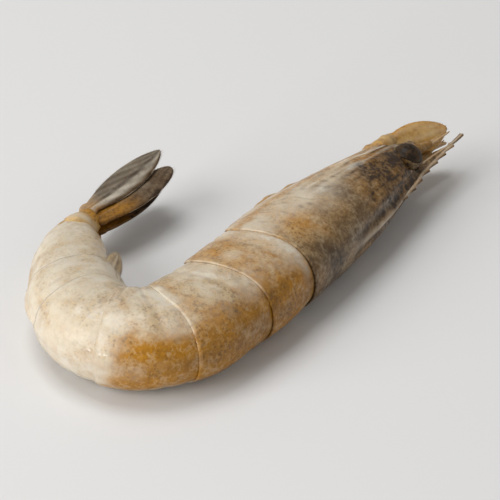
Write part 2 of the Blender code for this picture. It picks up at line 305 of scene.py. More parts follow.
def build(name, rows, material, closed=True, ends=(None, None), thickness=0.0):
    """A mesh over rows of (point, marks), dressed and riding on the body; marks tint its material."""
    points = [p for row in rows for p, _ in row]
    marks = [m for row in rows for _, m in row]
    count = len(rows[0])
    faces = []
    for i in range(len(rows) - 1):
        for j in range(count if closed else count - 1):
            k = (j + 1) % count
            faces.append((i * count + j, i * count + k, (i + 1) * count + k, (i + 1) * count + j))
    for end, first in ((ends[0], 0), (ends[1], (len(rows) - 1) * count)):
        if end is not None:
            points.append(end)
            marks.append(marks[first])
            faces += [(first + j, first + (j + 1) % count, len(points) - 1) for j in range(count)]
    make(name, points, marks, faces, material, not closed, thickness)


def make(name, points, marks, faces, material, is_open=False, thickness=0.0):
    """The object itself, from points in millimetres."""
    mesh = bpy.data.meshes.new(name)
    mesh.from_pydata([to_frame(p) for p in points], [], faces)
    for k, tint in enumerate(MARKS):
        mesh.attributes.new(tint, "FLOAT", "POINT").data.foreach_set("value", [m[k] for m in marks])
    bm = bmesh.new()
    bm.from_mesh(mesh)
    if is_open:
        middle = sum((v.co for v in bm.verts), Vector()) / len(bm.verts)
        facing = sum(f.normal.dot(f.calc_center_median() - middle) for f in bm.faces)
        if facing < 0:
            bmesh.ops.reverse_faces(bm, faces=bm.faces)
    else:
        bmesh.ops.recalc_face_normals(bm, faces=bm.faces)
    bm.to_mesh(mesh)
    bm.free()
    mesh.shade_smooth()
    mesh.materials.append(material)
    piece = bpy.data.objects.new(name, mesh)
    bpy.context.scene.collection.objects.link(piece)
    if thickness:
        wall = piece.modifiers.new("wall", "SOLIDIFY")
        wall.thickness = thickness * MM
        wall.offset = -1
    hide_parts("prawn")
    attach(piece, "root")


def add(tree, kind, inputs=None, **settings):
    """A node of the tree, with its inputs set to numbers or joined to other nodes' outputs."""
    node = tree.nodes.new(kind)
    for key, value in settings.items():
        setattr(node, key, value)
    for key, value in (inputs or {}).items():
        if isinstance(value, bpy.types.NodeSocket):
            tree.links.new(value, node.inputs[key])
        else:
            node.inputs[key].default_value = value
    return node


def between(tree, value, low, high, to_low=0.0, to_high=1.0):
    """The value's smooth step from low to high."""
    return add(tree, "ShaderNodeMapRange", {"Value": value, "From Min": low, "From Max": high,
               "To Min": to_low, "To Max": to_high}, interpolation_type="SMOOTHSTEP").outputs["Result"]


def maths(tree, operation, a, b):
    """Two values added, multiplied or divided."""
    return add(tree, "ShaderNodeMath", {0: a, 1: b}, operation=operation).outputs[0]


def mix(tree, factor, a, b, blend="MIX"):
    """Colour a, turning to colour b with the factor, or darkened by it."""
    node = add(tree, "ShaderNodeMix", data_type="RGBA", blend_type=blend)
    for socket, value in ((node.inputs[0], factor), (node.inputs[6], a), (node.inputs[7], b)):
        if isinstance(value, bpy.types.NodeSocket):
            tree.links.new(value, socket)
        else:
            socket.default_value = value if isinstance(value, float) else (*value, 1.0)
    return node.outputs[2]


# Points to the metre: the shell's specks and the eye's facets
SPECK_DENSITY = 1900.0
FACET_DENSITY = 5200.0

# Colours, linear
SAND = (0.50, 0.355, 0.185)
CREAM = (0.60, 0.50, 0.345)
GREY = (0.110, 0.082, 0.049)
OCHRE = (0.42, 0.182, 0.004)
BROWN = (0.100, 0.042, 0.007)
PALE = (0.65, 0.585, 0.48)
DARK = (0.030, 0.014, 0.004)
UNDER = (0.50, 0.38, 0.21)
LIMB = (0.42, 0.25, 0.080)
LIMB_PALE = (0.54, 0.42, 0.24)
SCALE = (0.45, 0.225, 0.030)
SCALE_PALE = (0.54, 0.36, 0.13)
BLADE = (0.105, 0.082, 0.054)
BLADE_PALE = (0.165, 0.135, 0.095)
GRAIN = (0.52, 0.46, 0.38)
EYE_BLACK = (0.014, 0.008, 0.004)
EYE_BROWN = (0.050, 0.028, 0.012)


def noise_of(tree, where, size, detail=3.0, roughness=0.6):
    """Noise from 0 to 1 with features of about size millimetres."""
    return add(tree, "ShaderNodeTexNoise", {"Vector": where, "Scale": 1 / (size * MM), "Detail": detail,
               "Roughness": roughness}).outputs["Fac"]


def wet_skin(name, base, milky, speckles, translucency, dullness, water):
    """Wet shell: a base colour with milky clouds, the painted marks, brown specks, and a coat of water."""
    material = bpy.data.materials.new(name)
    material.use_nodes = True
    tree = material.node_tree
    surface = tree.nodes["Principled BSDF"]
    where = add(tree, "ShaderNodeTexCoord").outputs["Object"]
    painted = [add(tree, "ShaderNodeAttribute", attribute_name=tint).outputs["Fac"] for tint in MARKS]
    grey, ochre, pale, dark = painted
    clouds = noise_of(tree, where, 5.5, detail=4.0)
    blots = noise_of(tree, where, 2.3)
    grain = noise_of(tree, where, 0.8, roughness=0.65)
    colour = mix(tree, between(tree, clouds, 0.40, 0.62), base, milky)
    colour = mix(tree, between(tree, blots, 0.52, 0.70, 0.0, 0.35), colour, tuple(0.6 * c for c in base))
    uneven = between(tree, maths(tree, "ADD", blots, grain), 0.72, 1.28, 0.62, 1.25)
    colour = mix(tree, maths(tree, "MULTIPLY", grey, uneven), colour, GREY)
    colour = mix(tree, maths(tree, "MULTIPLY", ochre, uneven), colour, OCHRE)
    dots = add(tree, "ShaderNodeTexVoronoi", {"Vector": where, "Scale": SPECK_DENSITY, "Randomness": 1.0})
    dot_size = add(tree, "ShaderNodeSeparateColor", {"Color": dots.outputs["Color"]}).outputs["Red"]
    near = maths(tree, "DIVIDE", dots.outputs["Distance"], dot_size)
    crowds = between(tree, clouds, 0.62, 0.40, 0.2, 1.0)
    specks = maths(tree, "MULTIPLY", between(tree, near, 0.85, 0.40), crowds)
    colour = mix(tree, maths(tree, "MULTIPLY", specks, speckles), colour, BROWN)
    colour = mix(tree, between(tree, grain, 0.40, 0.68, 0.0, 0.34), colour, GRAIN, "MULTIPLY")
    veil = between(tree, maths(tree, "ADD", clouds, grain), 0.70, 1.20, 0.60, 1.20)
    colour = mix(tree, maths(tree, "MULTIPLY", pale, veil), colour, PALE)
    colour = mix(tree, maths(tree, "MULTIPLY", dark, uneven), colour, DARK)
    tree.links.new(colour, surface.inputs["Base Color"])
    tree.links.new(between(tree, grain, 0.3, 0.7, dullness, dullness + 0.16), surface.inputs["Roughness"])
    pits = maths(tree, "ADD", maths(tree, "MULTIPLY", blots, 0.8), grain)
    relief = add(tree, "ShaderNodeBump", {"Height": pits, "Strength": 0.28, "Distance": 0.00035})
    tree.links.new(relief.outputs["Normal"], surface.inputs["Normal"])
    surface.inputs["Subsurface Weight"].default_value = translucency
    surface.inputs["Subsurface Radius"].default_value = (1.0, 0.55, 0.25)
    surface.inputs["Subsurface Scale"].default_value = 0.0012
    surface.inputs["Specular IOR Level"].default_value = 0.28
    swells = maths(tree, "ADD", clouds, maths(tree, "MULTIPLY", blots, 0.35))
    film = add(tree, "ShaderNodeBump", {"Height": swells, "Strength": 0.45, "Distance": 0.0007})
    tree.links.new(film.outputs["Normal"], surface.inputs["Coat Normal"])
    surface.inputs["Coat Weight"].default_value = water
    surface.inputs["Coat Roughness"].default_value = 0.14
    return material


def eye_material():
    """Wet facets, near-black with brown patches."""
    material = bpy.data.materials.new("eye")
    material.use_nodes = True
    tree = material.node_tree
    surface = tree.nodes["Principled BSDF"]
    where = add(tree, "ShaderNodeTexCoord").outputs["Object"]
    cells = add(tree, "ShaderNodeTexVoronoi", {"Vector": where, "Scale": FACET_DENSITY, "Randomness": 0.2})
    cloud = noise_of(tree, where, 1.5)
    colour = mix(tree, between(tree, cloud, 0.44, 0.64), EYE_BLACK, EYE_BROWN)
    tree.links.new(colour, surface.inputs["Base Color"])
    height = maths(tree, "ADD", maths(tree, "MULTIPLY", cells.outputs["Distance"], 0.12), cloud)
    relief = add(tree, "ShaderNodeBump", {"Height": height, "Strength": 0.5, "Distance": 0.0006})
    tree.links.new(relief.outputs["Normal"], surface.inputs["Normal"])
    surface.inputs["Roughness"].default_value = 0.5
    surface.inputs["Specular IOR Level"].default_value = 0.15
    surface.inputs["Coat Weight"].default_value = 0.10
    surface.inputs["Coat Roughness"].default_value = 0.15
    return material


# Each skin's base and milky colours, then its specks, translucency, dullness and water
SHELL_SKIN = wet_skin("shell_skin", SAND, CREAM, 0.50, 0.12, 0.42, 0.34)
UNDER_SKIN = wet_skin("under_skin", UNDER, PALE, 0.20, 0.25, 0.44, 0.24)
LIMB_SKIN = wet_skin("limb_skin", LIMB, LIMB_PALE, 0.40, 0.22, 0.46, 0.16)
SCALE_SKIN = wet_skin("scale_skin", SCALE, SCALE_PALE, 0.45, 0.18, 0.44, 0.10)
BLADE_SKIN = wet_skin("blade_skin", BLADE, BLADE_PALE, 0.45, 0.06, 0.48, 0.06)
EYE_SKIN = eye_material()


def skin_spot(s, degrees, layer):
    """The place on the unrolled skin, in millimetres, where noise is read; each layer has its own."""
    return Vector((s, degrees * DEGREE_MM, layer))


def carapace_marks(s, degrees, broad, fine, flecks):
    """The carapace's tints: dark along the back (partly painted shade) and at the front, pale and streaked
    towards the belly.
    """
    a = abs(degrees)
    streaks = rough(Vector((s / 7, degrees * 0.17, 8.0)), 1.0)
    back = smooth((75 + 50 * (38 - s) / 33 + 12 * broad - a) / 45)
    front = smooth((26 - s) / 18)
    hem = smooth((a + 8 * fine - 113) / 7) * (1 - 0.6 * smooth((a - 122) / 10))
    crest = bump(a, 0, 3.5) * smooth((31 - s) / 10)
    patch = bump(s, 24, 6) * bump(a, 80, 18)
    grey = (0.12 + 0.66 * back) * (1 - 0.55 * front) + 0.30 * fine + 0.30 * broad
    grey += 0.50 * patch * smooth(0.4 + 2 * broad)
    ochre = 0.18 + 0.70 * front * back + 0.45 * smooth(0.1 - broad) + 0.50 * bump(s, 9, 3.5) * bump(a, 92, 14)
    ochre += 0.42 * bump(s, 33, 6) * bump(a, 78, 26) + 0.70 * hem * (0.5 + smooth(0.3 + broad))
    pale = 0.50 * smooth((a - 74) / 22) * smooth((s - 6) / 10) * (0.6 + 0.4 * smooth((s - 20) / 12))
    pale += 0.85 * smooth((27 - s) / 10) * smooth(3.0 * streaks - 0.35) * smooth((a - 80) / 12)
    pale = pale * (1 - 0.7 * hem) + 0.30 * patch + 0.55 * crest + 0.75 * bump(s, 13.5, 2.5) * bump(a, 16, 8)
    dark = 0.45 * front * back + 0.60 * front * smooth(-0.1 - 2.4 * streaks)
    dark += 0.40 * back * smooth(broad / 0.5)
    # Painted shade darkens the side towards the back; the front round the eye is darker still
    dark += 0.34 * smooth((70 - a) / 60) + 0.9 * smooth((7.5 - s) / 5) * smooth((96 - a) / 34)
    dark += 0.30 * smooth(flecks * 2.2 - 0.3) * (1 - 0.5 * back)
    # Painted shade in the grooves beside the ridge and in the neck groove, and at the rear edge over the back
    dark += 0.30 * bump(a, 10, 4) * smooth((31 - s) / 10)
    dark += 0.35 * groove(s, a, *NECK_GROOVE) + 0.30 * back * smooth((s - 38.6) / 1.2)
    return grey, ochre, pale, dark * (1 - 0.7 * crest)


def plate_marks(s, degrees, broad, fine, flecks):
    """The tints of the tail's plates: ochre on the back, milky in front of each, cream in the last three,
    with painted shade and a painted highlight.
    """
    a = abs(degrees)
    spot = skin_spot(s, degrees, 5.0)
    number = max(n for n in range(6) if n == 0 or s >= EDGES[n])
    t = (s - EDGES[number]) / SEGMENT_LENGTHS[number]
    mottle = rough(spot + UP * 31, 2.4)
    milk = 0.8 * rough(spot + UP * 43, 3.6) + 0.5 * rough(spot + UP * 71, 1.5)
    tail = smooth((s - 72 + 5 * broad + 3 * fine) / 4)
    back = smooth((70 + 14 * broad + 20 * fine + 10 * flecks - a) / 44)
    first = smooth((60 - s) / 12)
    flank = smooth((a - 26) / 34)
    freckle = smooth((rough(spot + UP * 57, 1.2) - 0.42) / 0.2)
    grey = 0.10 * smooth(fine + 0.2) * (1 - tail)
    ochre = 1.4 * back * (1 - 0.92 * tail) + 0.40 * freckle
    ochre += 0.36 * smooth(mottle * 2 + 0.1) * (1 - 0.25 * tail)
    ochre += 0.24 * smooth((t - 0.4) / 0.5) * (1 - tail) + 0.44 * first * (1 - 0.5 * back)
    ochre += 0.50 * tail * smooth((12 - a) / 10)
    pale = tail * (0.46 + 0.24 * smooth(milk * 2 + 0.4))
    pale += (1 - tail) * (1 - 0.4 * first) * flank * (0.20 + 0.40 * smooth(milk * 1.6 + 0.2))
    pale += 0.30 * (1 - tail) * smooth((0.42 - t) / 0.25) * smooth((a - 24) / 26)
    pale += 0.45 * bump(s, EDGES[0] + 1.3, 1.1) * smooth((a - 8) / 20) * smooth((112 - a) / 30)
    # A painted highlight on the outer bend of the fourth and fifth plates
    pale += 0.25 * bump(s, 82, 6.5) * bump(degrees, -6, 15)
    dark = 0.24 * back * (1 - tail) * smooth(fine + 0.4) * smooth((76 - s) / 20)
    # Painted shade darkens the back of the first plates, where the light does not fall; the freckles are
    # their own colour
    dark += 0.26 * smooth((20 - a) / 30) * (1 - 0.85 * tail) + 0.06 * freckle
    dark += 0.22 * smooth(flecks * 2.2 - 0.4) * (1 - 0.7 * tail)
    return grey, ochre, pale, dark


def shell_marks(s, degrees, rim, before=0.0):
    """The shell's tints; rim is 1 on a plate's rear edge, and before is 1 on the strip of painted shade next
    to it.
    """
    spot = skin_spot(s, degrees, 5.0)
    broad, fine, flecks = rough(spot, 6), rough(spot + UP * 9, 2.2), rough(spot + UP * 17, 1.1)
    marks = carapace_marks if s <= CARAPACE_LENGTH + 0.05 else plate_marks
    grey, ochre, pale, dark = marks(s, degrees, broad, fine, flecks)
    patchy = smooth(rough(spot + UP * 4, 5) + 0.5)
    pale += 0.06 * rim * patchy
    # The strip in front of each rim is painted shade, tinted ochre and darkened; smooth noise varies it and
    # the rim's tint
    ochre += (0.18 * rim + 0.10 * before) * (0.4 + 0.6 * patchy)
    return mark(grey * (1 - 0.4 * rim), ochre, min(pale, 0.85), dark + 0.06 * before * patchy + 0.10 * rim)


def groove(s, a, start, end, reach):
    """How near (s, a) is to the line from start to end, each (station, degrees), as a bell."""
    ax, ay = start[0], start[1] * GROOVE_DEGREE_MM
    bx, by = end[0], end[1] * GROOVE_DEGREE_MM
    px, py = s - ax, a * GROOVE_DEGREE_MM - ay
    dx, dy = bx - ax, by - ay
    t = min(1.0, max(0.0, (px * dx + py * dy) / (dx * dx + dy * dy)))
    return bump(math.hypot(px - t * dx, py - t * dy), 0, reach)


# The station of the carapace's front edge at degrees from the back, and the degrees that its sides reach
CARAPACE_FRONT = ((0, -1.5), (12, 0.0), (24, 1.8), (34, 3.3), (46, 3.7), (56, 2.2), (64, -0.6), (72, 0.9),
                  (100, 0.6), (125, 1.5), (150, 5.5))
CARAPACE_REACH = ((0, 143), (10, 148), (30, 152), (40, 146))

# Its grooves and spine, each from (station, degrees) to (station, degrees), with a reach to either side
NECK_GROOVE = ((17, 38), (10, 88), 0.9)
CHEEK_GROOVE = ((10, 88), (4, 118), 0.8)
GILL_GROOVE = ((19, 62), (37, 58), 1.0)
EYE_GROOVE = ((5, 62), (11, 78), 0.7)
CHEEK_SPINE = ((7.5, 84), (9.5, 85), 0.45)


def carapace_relief(s, degrees):
    """Ridge, grooves and spine of the carapace, and its slight unevenness."""
    a = abs(degrees)
    ridge = 0.55 * bump(a, 0, 5) * smooth((27 - s) / 14)
    beside = -0.30 * bump(a, 13, 5) * smooth((30 - s) / 10)
    grooves = -0.42 * groove(s, a, *NECK_GROOVE) - 0.30 * groove(s, a, *CHEEK_GROOVE)
    grooves -= 0.20 * groove(s, a, *GILL_GROOVE) + 0.22 * groove(s, a, *EYE_GROOVE)
    spine = 0.45 * groove(s, a, *CHEEK_SPINE)
    spot = skin_spot(s, degrees, 1)
    return ridge + beside + grooves + spine + 0.13 * rough(spot, 5.5) + 0.05 * rough(spot, 1.6)


def carapace():
    """The shell of the head and breast, down to its free lower edges."""
    rows = []
    steps, sides = 84, 130
    for i in range(steps + 1):
        t = i / steps
        row = []
        for j in range(sides + 1):
            u = 2 * j / sides - 1
            front = profile(CARAPACE_FRONT, abs(u) * 150)
            s = front + t * (CARAPACE_LENGTH - front)
            degrees = u * (profile(CARAPACE_REACH, s) - 5 * smooth((t - 0.9) / 0.1))
            rim = smooth((s - CARAPACE_LENGTH + PLATE_RIM) / PLATE_RIM)
            lift = SHELL_STEP * smooth(s / CARAPACE_LENGTH) ** 0.7 + carapace_relief(s, degrees)
            lower = smooth((abs(u) - 0.965) / 0.03)
            # Painted shade on the strip in front of the carapace's rim
            before = bump(s, CARAPACE_LENGTH - SHADE_STRIP_PLACE, SHADE_STRIP_REACH)
            tint = shell_marks(s, degrees, max(rim ** 2, 0.5 * lower), before)
            row.append((skin_point(s, degrees, lift - 0.25 * lower), tint))
        rows.append(row)
    build("carapace", rows, SHELL_SKIN, closed=False, thickness=SHELL_THICKNESS)


# The height of the keel on the back of each tail plate
KEELS = (0, 0, 0, 0.25, 0.5, 0.6)


def plate_relief(number, s, degrees, t):
    """Keel, hinge ridge and unevenness of a tail plate."""
    a = abs(degrees)
    keel = KEELS[number] * bump(a, 0, 4.5)
    hinge = -0.22 * bump(t, 0.30, 0.05) * smooth((a - 20) / 30) * (0.4 if number > 4 else 1.0)
    flap = 0.18 * bump(a, 118, 14) * bump(t, 0.55, 0.3)
    spot = skin_spot(s + 40 * number, degrees, 3)
    swell = 0.22 * math.sin(math.pi * t) * smooth((150 - a) / 40)
    knob = 0.30 * bump(a, 104, 5) * bump(t, 0.93, 0.05) - 0.25 * bump(a, 104, 8) * bump(t, 0.80, 0.06)
    return keel + hinge + flap + swell + knob + 0.16 * rough(spot, 5) + 0.06 * rough(spot, 1.5)


def tail_plate(number):
    """One of the six arched plates; its front is tucked under the plate before it."""
    start, end = EDGES[number], EDGES[number + 1]
    rows = []
    steps, sides = int(10 + 2.4 * (end - start)), 120
    for i in range(steps + 1):
        s = start - LAP + i / steps * (end - start + LAP)
        t = max(0.0, (s - start) / (end - start))
        reach = 138 + 13 * smooth(t / 0.5) - 8 * smooth((t - 0.86) / 0.14)
        if number == LAST_PLATE:
            reach = 150 - 16 * smooth((t - 0.8) / 0.2)
        rim = smooth((s - end + PLATE_RIM) / PLATE_RIM)
        row = []
        for j in range(sides + 1):
            u = 2 * j / sides - 1
            degrees = u * reach
            lower = smooth((abs(u) - 0.96) / 0.04)
            lift = SHELL_STEP * (0.35 + 0.65 * smooth(t) ** 0.7) - 0.35 * smooth((start - s + 0.3) / LAP)
            lift += plate_relief(number, s, degrees, t) * smooth((s - start + 1) / 2) - 0.2 * lower
            if number == LAST_PLATE:
                lift -= END_TAPER * smooth((s - end) / END_TAPER_REACH + 1)
            # Painted shade: a strip in front of the rim, and one just behind the edge of the plate before,
            # which overhangs this one
            before = bump(s, end - SHADE_STRIP_PLACE, SHADE_STRIP_REACH) + 0.8 * bump(s, start + 0.3, 0.5)
            p = skin_point(s, degrees, lift)
            p.z = max(p.z, FLOOR_GAP + TUCK_RISE * (1 - smooth((s - start) / TUCK_FADE)))
            row.append((p, shell_marks(s, degrees, max(rim ** 2, 0.6 * lower), before)))
        rows.append(row)
    build("tail_plate_%d" % (number + 1), rows, SHELL_SKIN, closed=False, thickness=SHELL_THICKNESS)


def inner_body():
    """The soft body inside the shell: it shows at the face, between the plates and all along the belly."""
    rows = []
    step, sides = 0.6, 96
    for i in range(int((BODY_END + FACE_REACH) / step) + 1):
        s = -FACE_REACH + step * i
        row = []
        nearest = min(EDGES, key=lambda edge: abs(edge - s))
        for j in range(sides):
            degrees = 360 * j / sides - 180
            below = smooth((abs(degrees) - 138) / 10)
            lift = -0.8 + 0.25 * smooth(-s / 4) - END_TAPER * smooth((s - BODY_END) / END_TAPER_REACH + 1)
            ribs = 0.55 * bump(s, nearest, 0.9) if s > CARAPACE_LENGTH - 2 else 0.35 * math.sin(s * 2.24) ** 2
            lift += below * (0.1 - ribs * smooth((s - 3) / 5))
            p = skin_point(s, degrees, lift, BELLY_GROOVE)
            wrinkle = 0.15 * rough(p, 2.2) * below
            p = p + frame_at(s)[2] * wrinkle
            p.z = max(p.z, SOFT_HEIGHT)
            tint = 0.35 * smooth(rough(p, 4) + 0.3)
            face = smooth((1.5 - s) / 2) * (0.6 + 0.4 * smooth((120 - abs(degrees)) / 40))
            ochre = tint * below + 0.6 * smooth(-s / 3)
            pale = 0.3 * bump(s, nearest, 0.9) * below
            row.append((p, mark(0.25 * tint, ochre, pale, 0.85 * face)))
        rows.append(row)
    build("inner_body", rows, UNDER_SKIN, ends=(place(-FACE_REACH - 1, 0, 0), place(BODY_END + 1, 0, 0)))


def rostrum():
    """The toothed blade that runs forward from the ridge of the carapace."""
    length = RIDGE_START + ROSTRUM_REACH
    step = length / (ROSTRUM_TEETH + 1)

    def top(s):
        return profile(BACK, max(s, 0.0)) + 0.2 + 0.9 * smooth((RIDGE_START - s) / 12) - 0.10 * max(0.0, -s)

    rows = []
    count = (ROSTRUM_TEETH + 1) * 16
    for i in range(count + 1):
        s = RIDGE_START - length * i / count
        phase = ((RIDGE_START - s) / step) % 1.0
        tooth = TOOTH_HEIGHT * (phase / 0.72 if phase < 0.72 else max(0.0, 1 - (phase - 0.72) / 0.10))
        if s < step - ROSTRUM_REACH:
            tooth = 0.0
        t = (s + ROSTRUM_REACH) / length
        low = top(s) - 0.35 - 1.8 * smooth(2.0 * t)
        under = 0.28 * max(0.0, 1 - abs(((s + 10.5) / 2.6) % 1.0 - 0.4) * 4)
        under *= smooth((-3 - s) / 2) * smooth(t / 0.1)
        half = 0.18 + 0.42 * smooth((s + ROSTRUM_REACH) / 14)
        rib = (low + top(s)) / 2
        outline = ((top(s) + tooth, 0.05), (top(s) - 0.10, 0.5 * half), (top(s) - 0.35, 0.6 * half),
                   (top(s) - 0.6, 0.45 * half), (rib, 0.8 * half), (low + 0.6, 0.45 * half),
                   (low + 0.35, 0.55 * half), (low + 0.10, 0.4 * half), (low - under, 0.04))
        ring = list(outline) + [(d, -w) for d, w in reversed(outline)]
        tip = smooth((-4 - s) / 8)
        row = []
        for d, w in ring:
            line = max(bump(d, top(s) - 0.22, 0.24), bump(d, low + 0.22, 0.24))
            dark = 0.80 * (1 - line) * (1 - 0.3 * tip)
            row.append((place(s, d, w), mark(0.0, 0.6 + 0.3 * tip, 0.62 * line, dark)))
        rows.append(row)
    ends = (place(RIDGE_START + 0.5, top(RIDGE_START) - 1, 0),
            place(-ROSTRUM_REACH - 0.4, top(-ROSTRUM_REACH) - 0.1, 0))
    build("rostrum", rows, SHELL_SKIN, ends=ends)


def plain_tint(t, near):
    """A limb's usual tint, ochre at the joints: t is how far along the limb, near how far from a joint."""
    return mark(0.1, 0.3 + 0.3 * bump(near, 0, 0.8), 0.15)


def limb(name, path, radii, material, sides=12, marks=plain_tint, swell=0.07):
    """A jointed limb: straight tapered lengths through the points of a path, swollen at the joints."""
    rows = []
    reach = [0.0]
    for a, b in zip(path, path[1:]):
        reach.append(reach[-1] + (b - a).length)
    steps = max(4, int(reach[-1] / LIMB_STEP))
    for i in range(steps + 1):
        along = reach[-1] * i / steps
        k = next(n for n in range(len(path) - 1) if along <= reach[n + 1] + 1e-6)
        t = (along - reach[k]) / (reach[k + 1] - reach[k])
        centre = path[k].lerp(path[k + 1], t)
        lead = (path[k + 1] - path[k]).normalized()
        if t > 0.75 and k + 2 < len(path):
            lead = lead.lerp((path[k + 2] - path[k + 1]).normalized(), 2 * (t - 0.75)).normalized()
        elif t < 0.25 and k > 0:
            lead = lead.lerp((path[k] - path[k - 1]).normalized(), 2 * (0.25 - t)).normalized()
        radius = radii[k] * (1 - t) + radii[k + 1] * t
        joints = [abs(along - r) for r in reach[1:-1]]
        near = min(joints) if joints else 9.0
        radius *= 1 + swell * bump(near, 0, 0.8) - 0.5 * swell * bump(near, 1.3, 0.5)
        side = lead.cross(UP)
        side = side.normalized() if side.length > 0.1 else Vector((0, 1, 0))
        over = lead.cross(side)
        row = []
        for j in range(sides):
            turn = 2 * math.pi * (j + 0.5) / sides
            p = centre + side * (math.cos(turn) * radius) + over * (math.sin(turn) * radius)
            p = p + (p - centre) * (0.10 * rough(p, 1.4))
            p.z = max(p.z, LIMB_HEIGHT)
            row.append((p, marks(along / reach[-1], near)))
        rows.append(row)
    ends = (path[0] + (path[0] - path[1]).normalized() * radii[0] * 0.5,
            path[-1] + (path[-1] - path[-2]).normalized() * radii[-1] * 0.9)
    build(name, rows, material, ends=ends)


def hairs(name, roots, material, thick):
    """A fringe: one thin tapered hair for each (root, direction with its length)."""
    points, marks, faces = [], [], []
    for root, hair in roots:
        side = hair.cross(UP)
        side = side.normalized() if side.length > 0.1 else Vector((1, 0, 0))
        over = hair.cross(side).normalized()
        first = len(points)
        for turn in HAIR_CORNERS:
            points.append(root + (side * math.cos(turn) + over * math.sin(turn)) * thick)
        points.append(root + hair)
        marks += [mark(0.1, 0.35, 0.35)] * 4
        a, b, c, tip = range(first, first + 4)
        faces += [(a, b, tip), (b, c, tip), (c, a, tip), (c, b, a)]
    make(name, points, marks, faces, material)


def leaf(name, base, along, across, size, material, shade, belly_at, ribs, fringe,
         bow=0.0, fine=1, broad_base=0.3, roundness=0.62, hair=0.07):
    """A flat oval blade of size (length, width, thickness) with raised ribs and a fringe round its end.

    It is widest at belly_at of its length, bow arches it, fine is how closely it is meshed, and shade gives
    the tints at t along it, v across it and the height of its ribs there.
    """
    length, width, thickness = size
    along = along.normalized()
    across = (across - along * across.dot(along)).normalized()
    normal = along.cross(across)
    steps, half_sides = int(fine * (12 + length * 1.6)), 8 * fine + 1
    rows, roots = [], []
    for i in range(steps):
        t = (i + 0.25) / (steps - 0.4)
        skew = t ** (math.log(0.5) / math.log(belly_at))
        half = max(0.10, math.sin(math.pi * min(skew, 1.0)) ** roundness) * width / 2
        stem = broad_base * width / 2 * smooth((0.3 - t) / 0.25) * min(1.0, t / BASE_ROUNDING) ** 0.5
        half = max(half, stem)
        thick = (0.40 + 0.60 * (1 - t)) * thickness / 2
        centre = base + along * (t * length) + normal * (bow * math.sin(math.pi * t))
        row = []
        for j in range(2 * half_sides):
            face = 1 if j < half_sides else -1
            v = -1 + 2 * (j if face > 0 else 2 * half_sides - 1 - j) / (half_sides - 1)
            body = max(0.0, 1 - v ** 4) ** 0.5 * thick + 0.03
            rib = max(bump(v, r * (1 - 0.4 * t), 0.13) for r in ribs) * smooth((1 - t) / 0.25)
            p = centre + across * (v * half) + normal * (face * (body + 0.22 * rib))
            ripple = 0.10 * rough(p, 2.4) + 0.05 * math.sin(v * 26 + t * 3) * smooth(t / 0.3) * (1 - abs(v))
            p = p + normal * ripple
            p.z = max(p.z, LIMB_HEIGHT)
            row.append((p, shade(t, v, rib)))
        rows.append(row)
        if t > FRINGE_START:
            for v in (-1, 1):
                root = centre + across * (v * half * 0.97)
                outward = across * v * max(0.15, 1 - t) + along * (0.5 + t)
                roots.append((root, outward.normalized() * fringe * (0.75 + 0.25 * math.sin(9 * i))))
    build(name, rows, material, ends=(base, base + along * length))
    clear = [(root, way) for root, way in roots if (root + way).z > 2 * LIMB_HEIGHT]
    hairs(name + "_fringe", clear, material, hair)


def eye(side, tag):
    """The ball of the eye in the dark cup of its short stalk."""
    centre = place(*EYES[side])
    look = Vector((0.62, -0.10, side * 0.77)).normalized()
    over = look.cross(UP).normalized()
    third = look.cross(over)
    rings, cup_rings, sides = 24, 8, 40
    depth = EYE_RADIUS * EYE_FLATNESS

    def on_ring(middle, radius, turn):
        return middle + over * (radius * math.cos(turn)) + third * (radius * math.sin(turn))

    ball = []
    for i in range(1, rings):
        a = math.pi * i / rings
        middle = centre + look * (math.cos(a) * depth)
        radius = math.sin(a) * EYE_RADIUS
        ball.append([(on_ring(middle, radius, 2 * math.pi * j / sides), mark()) for j in range(sides)])
    build("eye_" + tag, ball, EYE_SKIN, ends=(centre + look * depth, centre - look * depth))
    cup = []
    for i in range(cup_rings):
        a = math.pi - math.radians(12 * i + 4)
        radius = math.sin(a) * EYE_RADIUS * 1.04
        ring = []
        for j in range(sides):
            b = 2 * math.pi * j / sides
            lip = (0.45 * math.sin(2 * b + 1) + 0.2 * math.sin(5 * b)) * (i / (cup_rings - 1)) ** 2
            middle = centre + look * (math.cos(a) * EYE_RADIUS + lip)
            tint = mark(0.2, 0.5, 0.0, 0.97 - 0.10 * smooth(math.sin(2 * b)))
            ring.append((on_ring(middle, radius, b), tint))
        cup.append(ring)
    build("eye_cup_" + tag, cup, LIMB_SKIN)
    root = place(3.0, 2.0, side * 1.4)
    stalk = [root, root.lerp(centre, 0.5), root.lerp(centre, 0.9)]
    limb("eye_stalk_" + tag, stalk, (1.9, 2.1, 2.3), LIMB_SKIN, 20, lambda t, near: mark(0.2, 0.7, 0.0, 0.75))


